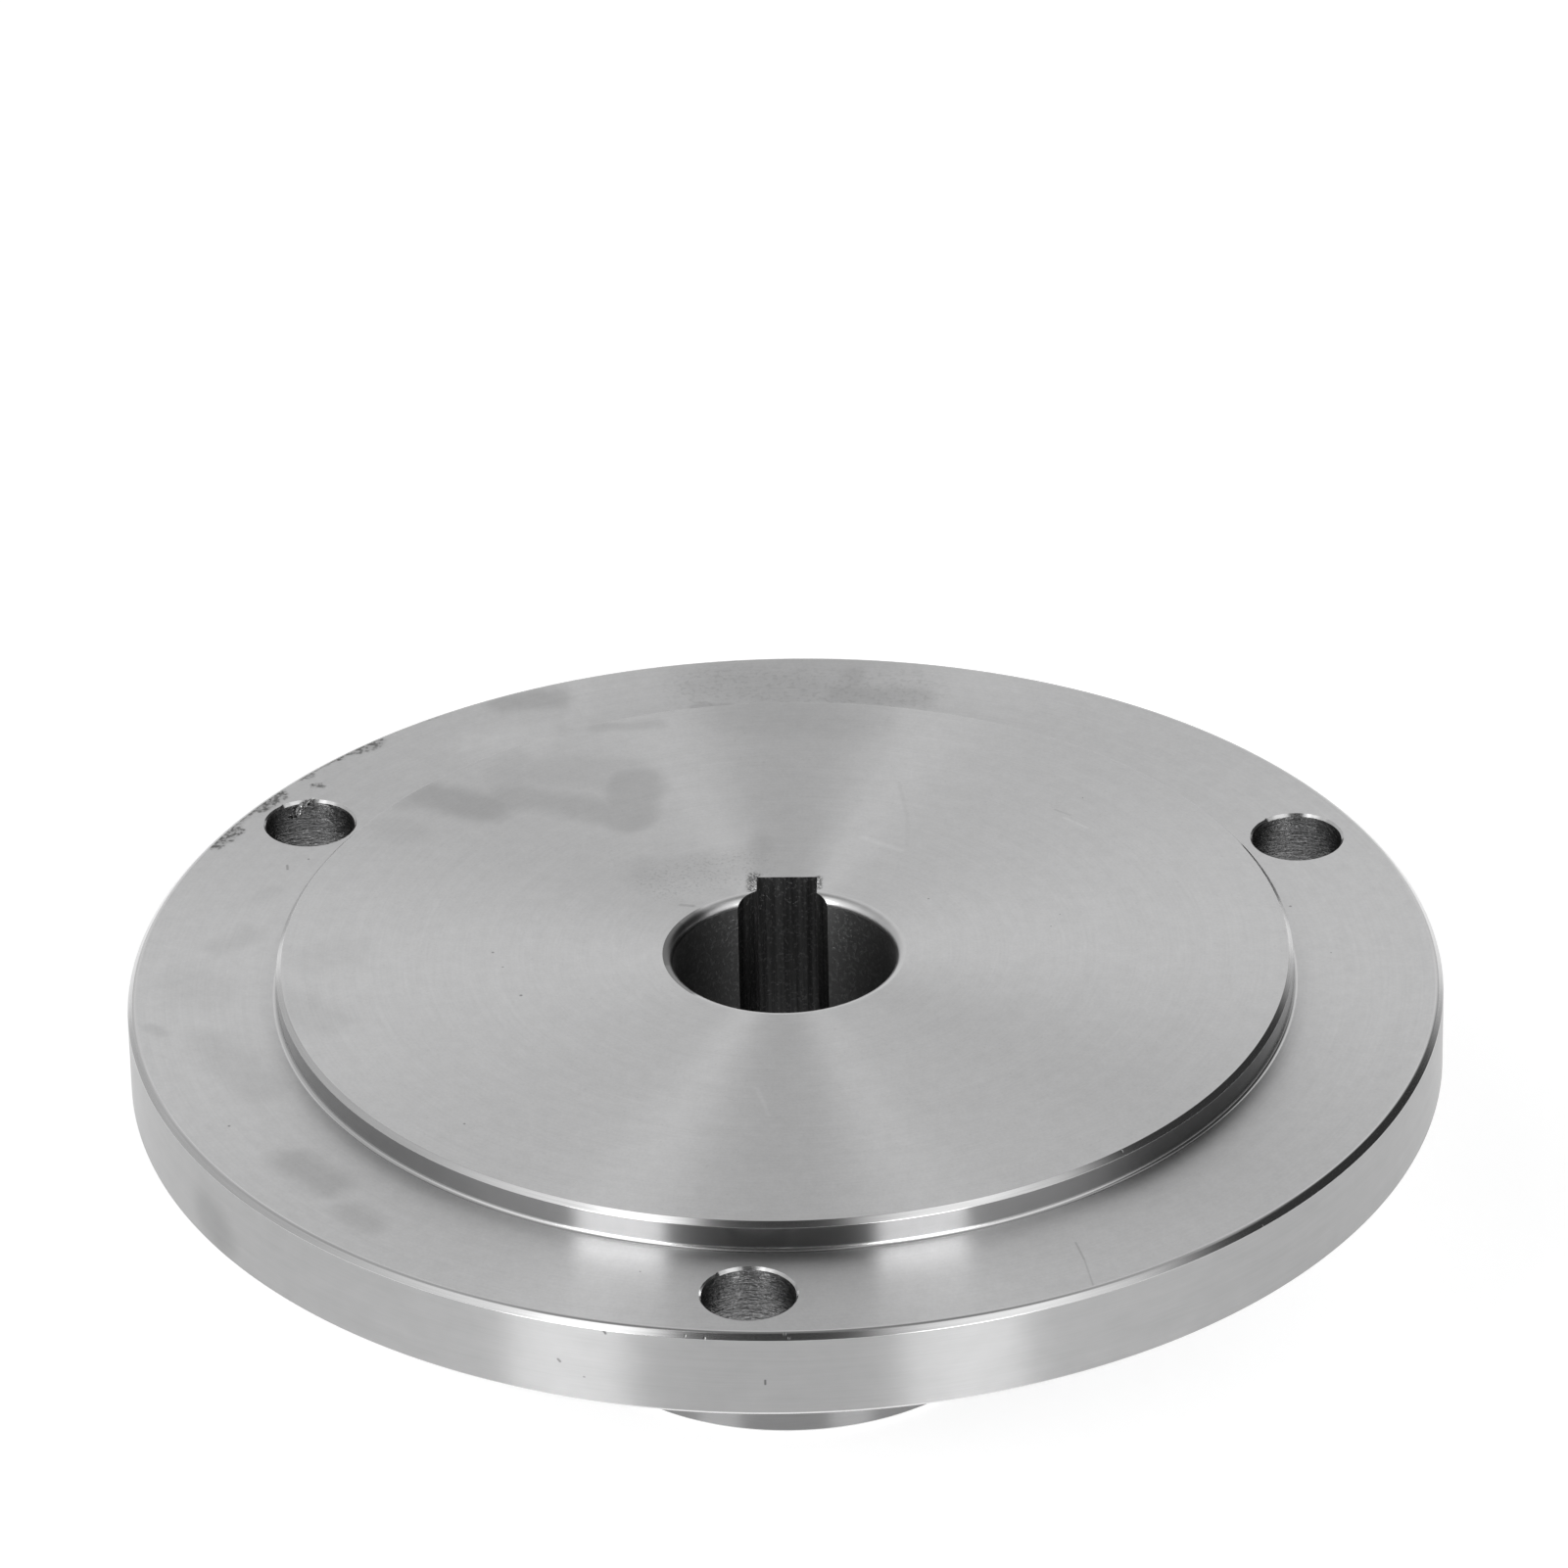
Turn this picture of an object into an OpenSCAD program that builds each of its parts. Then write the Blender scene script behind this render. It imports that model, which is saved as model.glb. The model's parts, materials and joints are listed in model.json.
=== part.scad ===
// Chuck adapter plate: a turned steel flange with a centring register on its
// face, a keyed hub below it and a ring of clearance holes for the chuck's bolts.
// It stands on the hub's end, with its axis along +Z and the keyway towards +Y.

/* [Flange] */
// Diameter of the flange, which the bolt circle and the register follow
flange_d = 129.4; // [110:0.1:250]
// Thickness of the flange, from its underside to the shoulder
flange_t = 9; // [5:0.5:20]
// Chamfer round the flange's top edge
flange_chamfer = 0.6; // [0.2:0.1:1.5]
// Chamfer round the flange's bottom edge
flange_back_chamfer = 0.4; // [0.2:0.1:1.5]

/* [Register] */
// How far the register's wall stands in from the bolt circle
register_inset = 7.5; // [6:0.1:12]
// Height of the register above the shoulder
register_h = 3; // [2:0.5:8]
// Chamfer round the register's edge
register_chamfer = 0.5; // [0.2:0.1:0.9]
// Tool radius left in the corner at the register's foot
foot_fillet = 0.4; // [0.2:0.1:0.9]

/* [Hub] */
// Diameter of the hub
hub_d = 45; // [36:0.5:90]
// Length of the hub below the flange
hub_l = 30; // [12:1:80]
// Chamfer round the hub's end
hub_chamfer = 0.5; // [0.2:0.1:2]
// Fillet where the hub meets the flange's underside
hub_fillet = 1; // [0.2:0.1:4]

/* [Bore] */
// Diameter of the bore
bore_d = 22; // [16:0.5:30]
// Radius of the polished rounding at the bore's mouth, on the register's side
bore_round = 1; // [0.2:0.1:2]
// Chamfer at the bore's mouth, on the hub's side
bore_chamfer = 0.5; // [0.2:0.1:2]

/* [Keyway] */
// Width of the keyway
key_w = 6; // [4:0.5:8]
// Depth of the keyway's floor below the bore's wall
key_depth = 3.3; // [2:0.1:5]
// Diameter of the round relief that runs down the bore behind the keyway
relief_d = 10.9; // [9:0.1:14]
// How far the relief reaches past the bore's wall
relief_depth = 1.35; // [0.6:0.05:1.9]

/* [Bolt holes] */
// How far the bolt circle stands in from the flange's edge
bolt_inset = 7.2; // [6:0.1:15]
// Number of bolt holes
bolt_count = 3; // [3:1:6]
// Diameter of each bolt hole
bolt_hole_d = 9; // [5:0.5:11]
// Chamfer at both mouths of each bolt hole
bolt_chamfer = 0.2; // [0.1:0.1:0.5]
// Turn of the bolt circle away from the keyway's opposite side, in degrees
bolt_turn = -2.4; // [-30:0.1:30]

/* [Hidden] */
$fn = 180;
// How far each cut runs past the face that it opens through
cut = 1;
shoulder_z = hub_l + flange_t;
top_z = shoulder_z + register_h;
flange_r = flange_d / 2;
bolt_circle_r = flange_r - bolt_inset;
register_r = bolt_circle_r - register_inset;
hub_r = hub_d / 2;
bore_r = bore_d / 2;

// The sliver of metal that a round-nosed tool leaves in the inside corner of a
// wall at radius r and a face at height z; the face looks up, or down if not up.
module corner_fillet(r, z, radius, up = true) {
    translate([r, z])
        mirror([0, up ? 0 : 1])
            difference() {
                translate([-radius, -radius])
                    square(2 * radius);
                translate([radius, radius])
                    circle(radius);
            }
}

// A round hole from z0 up to z1, half of it in section and open past both ends,
// with 45 degree chamfers of c0 at its lower mouth and c1 at its upper mouth.
module hole_section(r, z0, z1, c0, c1) {
    polygon([
        [0, z0 - cut],
        [r + c0 + cut, z0 - cut],
        [r, z0 + c0],
        [r, z1 - c1],
        [r + c1 + cut, z1 + cut],
        [0, z1 + cut]
    ]);
}

// Half of the plate's outside in section: up the hub, round the flange and over
// the register.
module outside_section() {
    polygon([
        [0, 0],
        [hub_r - hub_chamfer, 0],
        [hub_r, hub_chamfer],
        [hub_r, hub_l],
        [flange_r - flange_back_chamfer, hub_l],
        [flange_r, hub_l + flange_back_chamfer],
        [flange_r, shoulder_z - flange_chamfer],
        [flange_r - flange_chamfer, shoulder_z],
        [register_r, shoulder_z],
        [register_r, top_z - register_chamfer],
        [register_r - register_chamfer, top_z],
        [0, top_z]
    ]);
    corner_fillet(hub_r, hub_l, hub_fillet, up = false);
    corner_fillet(register_r, shoulder_z, foot_fillet);
}

// Half of the bore in section, with its polished mouth rounded over.
module bore_section() {
    mouth_r = bore_r + bore_round;
    hole_section(bore_r, 0, top_z, bore_chamfer, 0);
    difference() {
        translate([0, top_z - bore_round])
            square([mouth_r, bore_round + cut]);
        translate([mouth_r, top_z - bore_round])
            circle(bore_round);
    }
}

// The keyway and the round relief that it is cut through, open into the bore.
module keyway() {
    length = top_z + 2 * cut;
    translate([-key_w / 2, 0, -cut])
        cube([key_w, bore_r + key_depth, length]);
    translate([0, bore_r + relief_depth - relief_d / 2, -cut])
        cylinder(d = relief_d, h = length);
}

// The ring of bolt holes, the first of them across from the keyway.
module bolt_holes() {
    for (i = [0 : bolt_count - 1])
        rotate(bolt_turn - 90 + i * 360 / bolt_count)
            translate([bolt_circle_r, 0])
                rotate_extrude()
                    hole_section(bolt_hole_d / 2, hub_l, shoulder_z, bolt_chamfer, bolt_chamfer);
}

module adapter_plate() {
    color([0.66, 0.66, 0.67])
        difference() {
            rotate_extrude()
                outside_section();
            rotate_extrude()
                bore_section();
            keyway();
            bolt_holes();
        }
}

adapter_plate();
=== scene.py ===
"""A turned steel chuck adapter plate, dressed round its CAD frame and set in a small studio."""

import json
import math

import bmesh
import bpy
import numpy as np
from bpy.props import FloatProperty, FloatVectorProperty, IntProperty, PointerProperty
from mathutils import Euler, Matrix, Quaternion, Vector, noise
from mathutils.geometry import delaunay_2d_cdt


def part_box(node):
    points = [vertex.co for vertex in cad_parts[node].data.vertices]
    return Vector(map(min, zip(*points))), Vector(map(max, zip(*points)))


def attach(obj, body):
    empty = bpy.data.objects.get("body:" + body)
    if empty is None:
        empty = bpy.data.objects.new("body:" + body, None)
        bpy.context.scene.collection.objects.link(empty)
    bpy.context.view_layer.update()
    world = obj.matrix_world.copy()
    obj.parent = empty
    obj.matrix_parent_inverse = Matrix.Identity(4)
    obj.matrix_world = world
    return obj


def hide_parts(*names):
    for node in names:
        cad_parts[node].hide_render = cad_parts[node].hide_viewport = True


bl_info = {
    "name": "Chuck adapter plate",
    "version": (1, 0, 0),
    "blender": (4, 5, 0),
    "location": "3D View > Sidebar > Adapter plate",
    "description": "Builds a turned steel chuck adapter plate round its frame, with a small studio",
    "category": "Object",
}

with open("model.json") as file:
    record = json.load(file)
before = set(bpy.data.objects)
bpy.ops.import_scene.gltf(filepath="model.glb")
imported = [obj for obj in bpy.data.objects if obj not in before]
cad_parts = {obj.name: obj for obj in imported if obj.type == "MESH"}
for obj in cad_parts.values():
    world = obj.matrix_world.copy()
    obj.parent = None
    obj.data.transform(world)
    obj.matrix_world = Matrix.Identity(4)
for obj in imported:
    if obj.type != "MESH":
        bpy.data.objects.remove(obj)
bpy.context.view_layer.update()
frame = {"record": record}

NODE = "adapter_plate"
BODY = "root"
MM = 0.001
WELD = 0.001 * MM
BLACK, WHITE = (0, 0, 0, 1), (1, 1, 1, 1)
MOUNTS = {mount["name"]: mount for mount in frame["record"]["mounts"]}
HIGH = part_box(NODE)[1]


def mount_size(mount, name):
    """A size of one of the plate's mounts, in metres."""
    return MOUNTS[mount]["dims"][name] * MM


def mount_height(mount):
    """The height of one of the plate's mounts."""
    return MOUNTS[mount]["pos_m"][2]


def length(name, description, value):
    """A length that a user may change."""
    kind = {"min": 0, "subtype": "DISTANCE", "unit": "LENGTH"}
    return FloatProperty(name=name, description=description, default=value, **kind)


def angle(name, description, degrees):
    """An angle that a user may change."""
    return FloatProperty(name=name, description=description, default=math.radians(degrees), subtype="ANGLE")


def shade(name, description, value):
    """A colour that a user may change."""
    kind = {"size": 3, "min": 0, "max": 1, "subtype": "COLOR"}
    return FloatVectorProperty(name=name, description=description, default=value, **kind)


def factor(name, description, value):
    """A share, gloss or strength that a user may change."""
    return FloatProperty(name=name, description=description, default=value, min=0)


def count(name, description, value, least):
    """A number of copies or steps that a user may change."""
    return IntProperty(name=name, description=description, default=value, min=least)


class PlateSizes(bpy.types.PropertyGroup):
    """Sizes of the turned plate."""

    flange_radius: length("Flange radius", "From the axis to the rim", HIGH.x)
    top: length("Overall height", "Height of the register's face above the hub's end", HIGH.z)
    shoulder: length("Shoulder height", "Height of the face under the chuck", mount_height("chuck_face"))
    underside: length("Underside height", "Height of the flange's back", mount_height("bolt_head_face"))
    flange_chamfer: length("Rim chamfer", "Chamfer round the flange's top edge", 0.6 * MM)
    flange_back_chamfer: length("Back chamfer", "Chamfer round the flange's bottom edge", 0.4 * MM)
    register_radius: length("Register radius", "Radius of the register", mount_size("register", "r_mm"))
    register_chamfer: length("Register chamfer", "Chamfer round the register's edge", 0.5 * MM)
    foot_fillet: length("Foot fillet", "Tool radius at the register's foot", 0.4 * MM)
    hub_radius: length("Hub radius", "Radius of the hub", 22.5 * MM)
    hub_chamfer: length("Hub chamfer", "Chamfer round the hub's end", 0.5 * MM)
    hub_fillet: length("Hub fillet", "Fillet where the hub meets the flange", 1 * MM)
    edge: length("Edge break", "Rounding that handling leaves on each turned corner", 0.06 * MM)
    rim_round: length("Rim rounding", "Rounding between the shoulder and the rim's chamfer", 0.5 * MM)
    bore_radius: length("Bore radius", "Radius of the bore", mount_size("bore", "r_mm"))
    bore_round: length("Mouth rounding", "Radius of the bore's polished upper mouth", 1 * MM)
    bore_chamfer: length("Lower mouth chamfer", "Chamfer at the bore's lower mouth", 0.5 * MM)
    key_half: length("Half keyway", "Half the keyway's width", 3 * MM)
    key_floor: length("Keyway floor", "From the axis to the keyway's floor", 14.3 * MM)
    relief_radius: length("Relief radius", "Radius of the round relief behind the keyway", 5.45 * MM)
    relief_reach: length("Relief reach", "From the axis to the relief's deepest point", 12.35 * MM)
    relief_side: length("Relief offset", "How far the relief stands left of the keyway's middle", 0.27 * MM)
    torn_left: length("Torn edge, left", "How far the broach tore the keyway's left edge", 0.6 * MM)
    torn_right: length("Torn edge, right", "How far the broach tore the keyway's right edge", 0.4 * MM)
    bolt_circle: length("Bolt circle", "Radius of the bolt circle", mount_size("bolt_circle", "pcd_mm") / 2)
    bolt_radius: length("Bolt hole radius", "Radius of a bolt hole", mount_size("bolt_circle", "hole_r_mm"))
    bolt_count: count("Bolt holes", "How many bolt holes", MOUNTS["bolt_circle"]["dims"]["count"], least=1)
    bolt_turn: angle("First bolt hole", "Direction of the first bolt hole", -92.4)
    deburr_wide: length("Deburring, widest", "Chamfer of a hole's mouth where deburring starts", 0.32 * MM)
    deburr_thin: length("Deburring, thinnest", "Chamfer of a hole's mouth where deburring ends", 0.17 * MM)
    back_deburr: length("Deburring, underside", "Chamfer of a hole's lower mouth", 0.2 * MM)
    deburr_start: angle("Deburring start", "Direction from each hole at which its deburring starts", 132)
    ridge_pitch: length("Ridge pitch", "Pitch of the tool ridges beside the register's foot", 0.17 * MM)
    ridge_depth: length("Ridge depth", "Depth of the tool ridges beside the register's foot", 0.006 * MM)
    ridge_count: count("Ridges", "How many tool ridges stand beside the register's foot", 11, least=1)
    round_steps: count("Steps round the plate", "Segments of each turned circle", 720, least=24)
    bore_steps: count("Steps round the bore", "Segments of the bore's circle", 240, least=24)
    hole_steps: count("Steps round a hole", "Segments of each bolt hole", 144, least=24)


class SteelLook(bpy.types.PropertyGroup):
    """Colours and gloss of the plate's finishes."""

    bright: shade("Faced steel", "Colour of the turned faces", (0.6, 0.6, 0.603))
    # The walls' colours are darker than the faced steel's: painted shade for the darker floor and room that
    # they mirror
    turned: shade("Turned steel", "Colour of the turned walls", (0.407, 0.407, 0.409))
    register: shade("Register", "Colour of the register's wall", (0.4, 0.4, 0.402))
    # The hub's colour is painted shade: darker than the rim's for the shadow under the flange
    hub: shade("Hub", "Colour of the hub's wall, which has dulled", (0.27, 0.27, 0.272))
    polished: shade("Polished edges", "Colour of the chamfers and the bore's mouth", (0.62, 0.62, 0.622))
    drilled: shade("Drilled steel", "Colour of the drilled walls", (0.26, 0.26, 0.262))
    bore: shade("Bored steel", "Colour of the bore's wall", (0.34, 0.34, 0.342))
    broached: shade("Broached steel", "Colour of the keyway's walls", (0.22, 0.22, 0.222))
    scale: shade("Scale", "Colour of the dark scale left on the rim", (0.16, 0.16, 0.155))
    face_gloss: factor("Face roughness", "Roughness of the turned faces", 0.305)
    wall_gloss: factor("Wall roughness", "Roughness of the rim's wall", 0.285)
    hub_gloss: factor("Hub roughness", "Roughness of the hub's wall", 0.29)
    register_gloss: factor("Register roughness", "Roughness of the register's finely turned wall", 0.17)
    edge_gloss: factor("Edge roughness", "Roughness of the chamfers", 0.16)
    mouth_gloss: factor("Mouth roughness", "Roughness of the bore's rounded mouth", 0.31)
    deburred_gloss: factor("Deburred roughness", "Roughness of the bolt holes' mouths", 0.21)
    bore_gloss: factor("Bore roughness", "Roughness of the bore's wall", 0.35)
    keyway_gloss: factor("Keyway roughness", "Roughness of the keyway's walls", 0.38)
    torn_gloss: factor("Torn roughness", "Roughness of the keyway's torn edges", 0.25)
    drilled_gloss: factor("Drilled roughness", "Roughness of the drilled walls", 0.28)
    swarf_gloss: factor("Swarf roughness", "Roughness of the curl of swarf", 0.24)


class StudioLook(bpy.types.PropertyGroup):
    """The floor, the lamps and the soft room round the plate."""

    room: factor("Room brightness", "Brightness of the plain part of the room", 0.5)
    floor: shade("Floor", "Colour of the floor", (0.8, 0.8, 0.8))
    floor_lift: factor("Floor lift", "Added to the floor as it is seen, so that it reads as white", 0.52)
    lamp: factor("Lamp brightness", "Brightness of each tall lamp's face", 5.5)
    lamp_distance: length("Lamp distance", "From the plate's axis to each lamp", 1.1)
    lamp_width: length("Lamp width", "Width of each lamp", 0.375)
    lamp_foot: length("Lamp foot", "Height of each lamp's lower edge over the floor", 0.02)
    lamp_top: length("Lamp top", "Height of each lamp's upper edge over the floor", 0.8)


# Geometry


def polar(reach, turn, height=0.0):
    """A point from its distance to the axis, its direction and its height."""
    return Vector((reach * math.cos(turn), reach * math.sin(turn), height))


def circle(radius, height, steps, centre=(0.0, 0.0)):
    """Points of a circle from +X on. The radius and the height may be functions of the direction."""
    points = []
    for step in range(steps):
        turn = math.tau * step / steps
        reach = radius(turn) if callable(radius) else radius
        rise = height(turn) if callable(height) else height
        across, along = centre[0] + reach * math.cos(turn), centre[1] + reach * math.sin(turn)
        points.append(Vector((across, along, rise)))
    return points


# The widest step from point to point round a corner
CORNER_STEP = math.radians(15)


def corner_arc(before, corner, after, radius):
    """Points of the arc that rounds one corner of an outline."""
    into = (corner - before).normalized()
    out = (after - corner).normalized()
    turn = math.atan2(into.x * out.y - into.y * out.x, into.dot(out))
    side = math.copysign(1, turn)
    start = corner - into * radius * math.tan(abs(turn) / 2)
    centre = start + Vector((-into.y, into.x)) * side * radius
    steps = max(2, math.ceil(abs(turn) / CORNER_STEP))
    spoke = start - centre
    points = []
    for step in range(steps + 1):
        part = turn * step / steps
        cos, sin = math.cos(part), math.sin(part)
        points.append(centre + Vector((spoke.x * cos - spoke.y * sin, spoke.x * sin + spoke.y * cos)))
    return points


def soften(corners):
    """Splits an outline into straight and round runs of points.

    Each corner is (radius, height, rounding, finish of its arc, finish of the straight run after it). A run
    whose finish is None is left open.
    """
    spots = [Vector(corner[:2]) for corner in corners]
    runs = []
    last = spots[0]
    for index in range(1, len(corners) - 1):
        arc = corner_arc(spots[index - 1], spots[index], spots[index + 1], corners[index][2])
        runs.append((corners[index - 1][4], [last, arc[0]]))
        runs.append((corners[index][3], arc))
        last = arc[-1]
    runs.append((corners[-2][4], [last, spots[-1]]))
    return [run for run in runs if run[0]]


def between(spots, triangles, links):
    """Whether each triangle's middle lies between the outlines.

    A level line from such a middle crosses them an odd number of times.
    """
    middle = spots[np.array(triangles)].mean(axis=1)[:, None, :]
    first, second = spots[np.array(links)[:, 0]], spots[np.array(links)[:, 1]]
    rise = np.where(second[:, 1] == first[:, 1], 1, second[:, 1] - first[:, 1])
    spans = (first[:, 1] > middle[..., 1]) != (second[:, 1] > middle[..., 1])
    met = first[:, 0] + (second[:, 0] - first[:, 0]) * (middle[..., 1] - first[:, 1]) / rise
    return (spans & (met > middle[..., 0])).sum(axis=1) % 2 == 1


class Skin:
    """The plate's surface while it is laid in strips. Each strip is one smooth patch with one finish."""

    def __init__(self):
        self.mesh = bmesh.new()
        self.patch = self.mesh.faces.layers.int.new("patch")
        self.patches = 0

    def mark(self, faces, finish):
        """Gives faces their finish and makes them one smooth patch."""
        self.patches += 1
        slot = list(FINISHES).index(finish)
        for face in faces:
            face[self.patch] = self.patches
            face.material_index = slot

    def strips(self, rows, finish, closed=False):
        """Lays quads between each row of points and the next."""
        laid = []
        rings = [[self.mesh.verts.new(point) for point in row] for row in rows]
        for lower, upper in zip(rings, rings[1:]):
            points = len(lower)
            for step in range(points if closed else points - 1):
                after = (step + 1) % points
                laid.append(self.mesh.faces.new((lower[step], lower[after], upper[after], upper[step])))
        self.mark(laid, finish)

    def turn(self, run, finish, steps):
        """Revolves a run of (radius, height) points about the axis."""
        self.strips([circle(point[0], point[1], steps) for point in run], finish, closed=True)

    def weld(self):
        """Joins the strips where their points meet."""
        bmesh.ops.remove_doubles(self.mesh, verts=self.mesh.verts[:], dist=WELD)

    def fill(self, level, finish):
        """Fills the flat face between the open edges at one height."""
        edges = [
            edge for edge in self.mesh.edges
            if edge.is_boundary and all(abs(vert.co.z - level) < WELD for vert in edge.verts)
        ]
        verts = list(dict.fromkeys(vert for edge in edges for vert in edge.verts))
        order = {vert: index for index, vert in enumerate(verts)}
        links = [tuple(order[vert] for vert in edge.verts) for edge in edges]
        spots = [vert.co.to_2d() for vert in verts]
        _, _, faces, origins, _, _ = delaunay_2d_cdt(spots, links, [], 0, WELD / 10)
        triangles = [[origins[corner][0] for corner in face] for face in faces]
        laid = [
            self.mesh.faces.new([verts[corner] for corner in triangle])
            for triangle, inside in zip(triangles, between(np.array(spots), triangles, links))
            if inside
        ]
        self.mark(laid, finish)

    def finish(self, name, materials):
        """Checks that the surface is closed, keeps its creases and returns it as an object."""
        bmesh.ops.recalc_face_normals(self.mesh, faces=self.mesh.faces[:])
        for face in self.mesh.faces:
            face.smooth = True
        for edge in self.mesh.edges:
            if len(edge.link_faces) != 2:
                raise RuntimeError(f"{name} is open near {tuple(edge.verts[0].co)}")
            edge.smooth = len({face[self.patch] for face in edge.link_faces}) == 1
        return make_object(name, self.mesh, materials)


def make_object(name, mesh, materials):
    """Turns a bmesh into an object of the scene."""
    data = bpy.data.meshes.new(name)
    mesh.to_mesh(data)
    mesh.free()
    for material in materials:
        data.materials.append(material)
    piece = bpy.data.objects.new(name, data)
    bpy.context.scene.collection.objects.link(piece)
    return piece


def lay_outside(skin, sizes):
    """Lays the hub, the flange and the register, up to the flat faces between them."""
    edge = sizes.edge
    back, rim, top_edge = sizes.flange_back_chamfer, sizes.flange_chamfer, sizes.register_chamfer
    corners = (
        (0, 0, 0, None, None),
        (sizes.hub_radius - sizes.hub_chamfer, 0, edge, "edge", "edge"),
        (sizes.hub_radius, sizes.hub_chamfer, edge, "edge", "hub"),
        (sizes.hub_radius, sizes.underside, sizes.hub_fillet, "hub", None),
        (sizes.flange_radius - back, sizes.underside, edge, "edge", "edge"),
        (sizes.flange_radius, sizes.underside + back, edge, "edge", "rim"),
        (sizes.flange_radius, sizes.shoulder - rim, edge, "edge", "edge"),
        (sizes.flange_radius - rim, sizes.shoulder, sizes.rim_round, "edge", None),
        (sizes.register_radius, sizes.shoulder, sizes.foot_fillet, "edge", "register"),
        (sizes.register_radius, sizes.top - top_edge, edge, "edge", "edge"),
        (sizes.register_radius - top_edge, sizes.top, edge, "edge", None),
        (0, sizes.top, 0, None, None),
    )
    for finish, run in soften(corners):
        skin.turn(run, finish, sizes.round_steps)
    skin.turn(foot_ridges(sizes), "shoulder", sizes.round_steps)


def foot_ridges(sizes):
    """Section of the tool ridges that fade out from the register's foot across the shoulder."""
    start = sizes.register_radius + sizes.foot_fillet
    run = [(start, sizes.shoulder)]
    for ridge in range(sizes.ridge_count):
        fade = 1 - ridge / sizes.ridge_count
        radius = start + ridge * sizes.ridge_pitch
        run.append((radius + sizes.ridge_pitch / 2, sizes.shoulder - sizes.ridge_depth * fade))
        run.append((radius + sizes.ridge_pitch, sizes.shoulder))
    return run


# The edges that the broach tore: how soon they start, the pitch of their chips, the usual share of the
# widest, their slope, the distance from point to point, and how far apart the two lie in the noise
TORN_FADE = 0.3 * MM
TORN_PITCH = 0.32 * MM
TORN_SHARE = 0.3
TORN_SLOPE = 0.5
TORN_STEP = 0.05 * MM
TORN_SHIFT = 7.0


def relief_centre(sizes):
    """Where the relief's own axis stands."""
    return Vector((-sizes.relief_side, sizes.relief_reach - sizes.relief_radius))


def corner_reach(sizes, side):
    """Distance from the axis to the line where the relief meets the keyway's wall on one side."""
    centre = relief_centre(sizes)
    across = side * sizes.key_half - centre.x
    return math.hypot(sizes.key_half, centre.y + math.sqrt(sizes.relief_radius ** 2 - across ** 2))


def recess_angle(sizes, radius, side):
    """Angle from the keyway's middle to where its wall, or the relief's, crosses a circle."""
    if radius >= corner_reach(sizes, side):
        return math.asin(sizes.key_half / radius)
    centre = relief_centre(sizes)
    away = centre.length
    ahead = (radius ** 2 - sizes.relief_radius ** 2 + away ** 2) / (2 * away)
    return math.acos(ahead / radius) + side * math.atan2(centre.x, centre.y)


def mouth_top(sizes, radius):
    """Height of the bore's rounded upper mouth at a distance from the axis."""
    reach = max(0, sizes.bore_radius + sizes.bore_round - radius)
    return sizes.top - sizes.bore_round + math.sqrt(max(0, sizes.bore_round ** 2 - reach ** 2))


def mouth_bottom(sizes, radius):
    """Height of the bore's chamfered lower mouth at a distance from the axis."""
    return max(0, sizes.bore_chamfer - (radius - sizes.bore_radius))


# How many steps the rounding of the bore's upper mouth has
MOUTH_STEPS = 10


def mouth_radii(sizes):
    """Distances from the axis at which the bore's mouths and the keyway's walls share their points."""
    turns = [math.radians(90) * step / MOUTH_STEPS for step in range(MOUTH_STEPS + 1)]
    upper = [sizes.bore_radius + sizes.bore_round * (1 - math.cos(turn)) for turn in turns]
    corners = [corner_reach(sizes, side) for side in (-1, 1)]
    return sorted([*upper, sizes.bore_radius + sizes.bore_chamfer, *corners])


def lay_bore(skin, sizes):
    """Lays the bore's wall and its two mouths, open towards the keyway."""

    def ring(radius, height):
        left, right = recess_angle(sizes, radius, -1), recess_angle(sizes, radius, 1)
        points = []
        for step in range(sizes.bore_steps + 1):
            turn = math.radians(90) + left + (math.tau - left - right) * step / sizes.bore_steps
            points.append(polar(radius, turn, height))
        return points

    radii = mouth_radii(sizes)
    lower = [radius for radius in radii if radius <= sizes.bore_radius + sizes.bore_chamfer]
    skin.strips([ring(radius, mouth_top(sizes, radius)) for radius in radii], "mouth")
    skin.strips([ring(radius, mouth_bottom(sizes, radius)) for radius in lower], "edge")
    wall = (mouth_bottom(sizes, sizes.bore_radius), mouth_top(sizes, sizes.bore_radius))
    skin.strips([ring(sizes.bore_radius, height) for height in wall], "bore")


def torn_reach(sizes, side, along):
    """How far the broach has torn the keyway's upper edge away, at a distance along the keyway."""
    start = math.sqrt((sizes.bore_radius + sizes.bore_round) ** 2 - sizes.key_half ** 2)
    fade = min(1, (along - start) / TORN_FADE, (sizes.key_floor - along) / TORN_FADE)
    ragged = noise.noise(Vector((along / TORN_PITCH, TORN_SHIFT * side, 0.0)))
    widest = sizes.torn_left if side < 0 else sizes.torn_right
    return widest * max(0, fade) * max(0, TORN_SHARE + ragged)


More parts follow.
